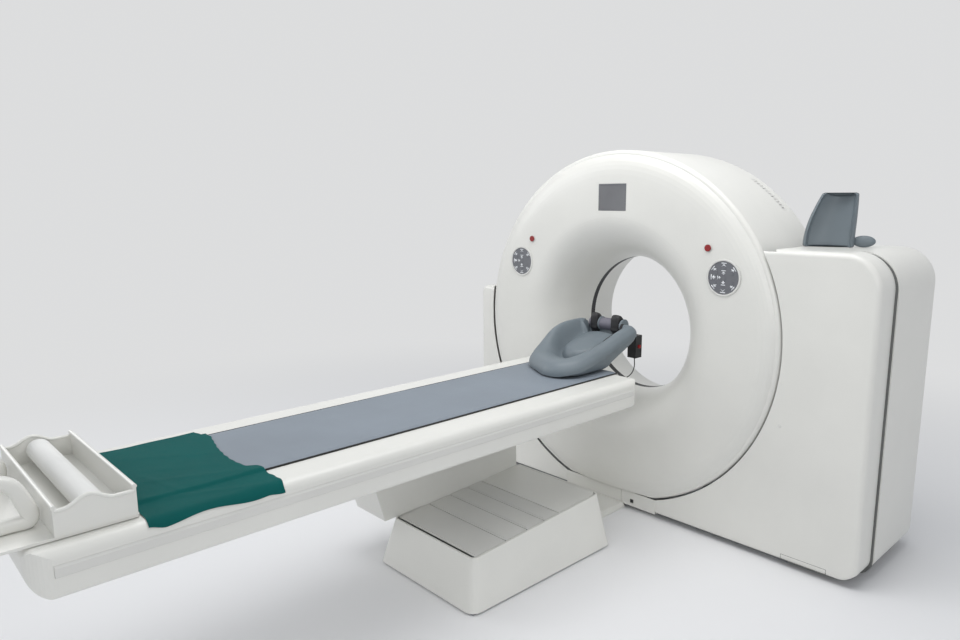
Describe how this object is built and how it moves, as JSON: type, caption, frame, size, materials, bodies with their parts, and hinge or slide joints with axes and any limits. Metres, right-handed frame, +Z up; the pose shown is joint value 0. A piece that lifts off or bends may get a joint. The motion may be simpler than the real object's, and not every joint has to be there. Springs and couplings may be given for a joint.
{
  "type": "computed tomography scanner",
  "caption": "Whole-body tomography scanner: a tilting round gantry with a wide bore on a floor frame, and a patient table that lifts and slides its top into the bore.",
  "frame": {"origin": "on the floor, directly below the centre of the scan plane", "axes": "+Y from the table into the bore along the scan axis, +X to the right seen from the table, +Z up"},
  "size_m": [2.25, 3.36, 1.808],
  "materials": {
    "cover_white": "satin warm white moulding",
    "light_plastic": "satin light grey-white",
    "dark_plastic": "matt near-black",
    "display_glass": "gloss dark grey screen, off",
    "keypad_grey": "satin grey-blue membrane with pale keys",
    "red_plastic": "gloss red",
    "frame_steel": "grey powder coat",
    "bearing_steel": "ground steel",
    "rotor_aluminium": "machined",
    "housing_metal": "textured grey paint",
    "tabletop_grey": "satin light grey",
    "mat_grey": "matt grey-blue vinyl",
    "grey_foam": "matt grey-blue foam skin",
    "paper_white": "matt white tissue paper",
    "green_fabric": "matt teal woven cloth",
    "black_rubber": "matt black"
  },
  "bodies": {
    "base": {"gantry_base_frame": "frame_steel", "trunnion_bearings": "bearing_steel", "left_side_cover": "cover_white", "right_front_cover": "cover_white", "right_rear_cover": "cover_white", "reveal_strip": "dark_plastic", "kick_panel_left": "cover_white", "kick_panel_right": "cover_white", "kick_latch": "dark_plastic", "floor_duct": "cover_white", "parked_cradle": "grey_foam", "pedestal_base": "frame_steel", "pedestal_tub": "cover_white", "slat_1": "light_plastic", "slat_2": "light_plastic", "slat_3": "light_plastic", "slat_4": "light_plastic", "lift_housing": "cover_white", "lift_outer_tube": "frame_steel", "lift_motor": "housing_metal"},
    "tilt": {"tilt_frame": "frame_steel", "main_bearing": "bearing_steel", "front_cover": "cover_white", "drum_cover": "cover_white", "rear_cover": "cover_white", "scan_window": "dark_plastic", "outlet_grille": "light_plastic", "display": "display_glass", "control_panel_left": "keypad_grey", "control_panel_right": "keypad_grey", "stop_bezels": "light_plastic"},
    "stop_left": {"stop_button_left": "red_plastic"},
    "stop_right": {"stop_button_right": "red_plastic"},
    "rotor": {"rotor_plate": "rotor_aluminium", "tube_housing": "housing_metal", "collimator": "housing_metal", "detector_arc": "housing_metal", "generator": "housing_metal", "heat_exchanger": "rotor_aluminium", "balance_weights": "frame_steel"},
    "lift_middle": {"lift_middle_tube": "frame_steel"},
    "lift": {"lift_inner_tube": "frame_steel", "table_beam": "cover_white", "table_chassis": "frame_steel", "guide_rails": "bearing_steel", "side_strips": "light_plastic"},
    "tabletop": {"tabletop": "tabletop_grey", "mat": "mat_grey", "foot_plate": "cover_white", "grab_handles": "cover_white", "roll_tray": "cover_white", "roll_spindle": "bearing_steel", "green_sheet": "green_fabric", "support_carrier": "dark_plastic", "end_bracket": "dark_plastic", "arm_support": "grey_foam", "grip_bar": "mat_grey", "support_lead": "black_rubber"},
    "paper_roll": {"paper_roll": "paper_white"},
    "release": {"release_button": "red_plastic"}
  },
  "joints": [
    {"name": "tilt", "type": "hinge", "parent": "base", "child": "tilt", "pos_m": [0, 0, 0.93], "axis": [-1, 0, 0], "range_deg": [-30, 30]},
    {"name": "rotor_spin", "type": "hinge", "parent": "tilt", "child": "rotor", "pos_m": [0, 0, 0.93], "axis": [0, 1, 0], "continuous": true},
    {"name": "stop_left_press", "type": "slide", "parent": "tilt", "child": "stop_left", "axis": [0, 1, 0], "range_m": [0, 0.005], "stiffness_N_per_m": 600, "springref_m": -0.001},
    {"name": "stop_right_press", "type": "slide", "parent": "tilt", "child": "stop_right", "axis": [0, 1, 0], "range_m": [0, 0.005], "stiffness_N_per_m": 600, "springref_m": -0.001},
    {"name": "table_lift", "type": "slide", "parent": "base", "child": "lift", "axis": [0, 0, 1], "range_m": [-0.22, 0.05]},
    {"name": "lift_stage", "type": "slide", "parent": "base", "child": "lift_middle", "axis": [0, 0, 1], "range_m": [-0.11, 0.025]},
    {"name": "tabletop_slide", "type": "slide", "parent": "lift", "child": "tabletop", "axis": [0, 1, 0], "range_m": [0, 1.5]},
    {"name": "paper_roll_spin", "type": "hinge", "parent": "tabletop", "child": "paper_roll", "pos_m": [0, -2.734, 0.8303], "axis": [1, 0, 0], "continuous": true},
    {"name": "release_press", "type": "slide", "parent": "tabletop", "child": "release", "axis": [-1, 0, 0], "range_m": [0, 0.003], "stiffness_N_per_m": 600, "springref_m": -0.001}
  ],
  "couplings": [
    {"joint": "lift_stage", "follows": "table_lift", "ratio": 0.5}
  ]
}
